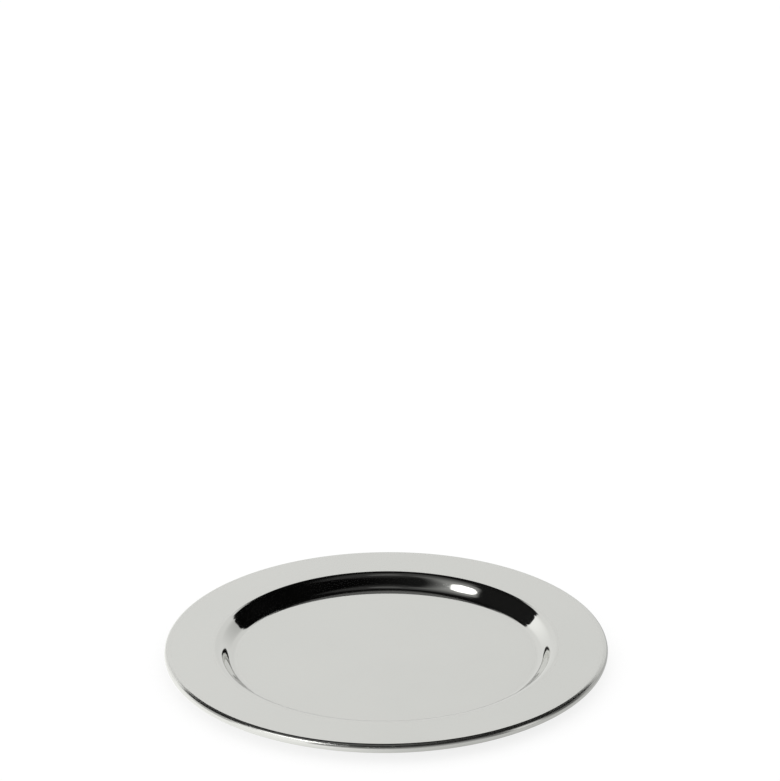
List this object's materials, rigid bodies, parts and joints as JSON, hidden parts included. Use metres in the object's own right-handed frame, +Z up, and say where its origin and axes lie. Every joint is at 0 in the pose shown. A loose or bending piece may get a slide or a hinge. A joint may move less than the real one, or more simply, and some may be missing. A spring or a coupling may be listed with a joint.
{
  "type": "bottle coaster",
  "caption": "Round polished metal bottle coaster: shallow well with a flat floor and an S-curved wall, flat rim, edge rolled round a wire, felt base.",
  "frame": {"origin": "centre of the felt's under side, on the table", "axes": "+Z up, along the axis of the round dish; the dish is alike all round, so +X and +Y are free"},
  "size_m": [0.14, 0.14, 0.0062],
  "materials": {
    "polished_metal": "polished",
    "steel_wire": "satin",
    "felt": "matte"
  },
  "bodies": {
    "root": {"dish": "polished_metal", "rim_wire": "steel_wire", "base_felt": "felt"}
  },
  "joints": []
}
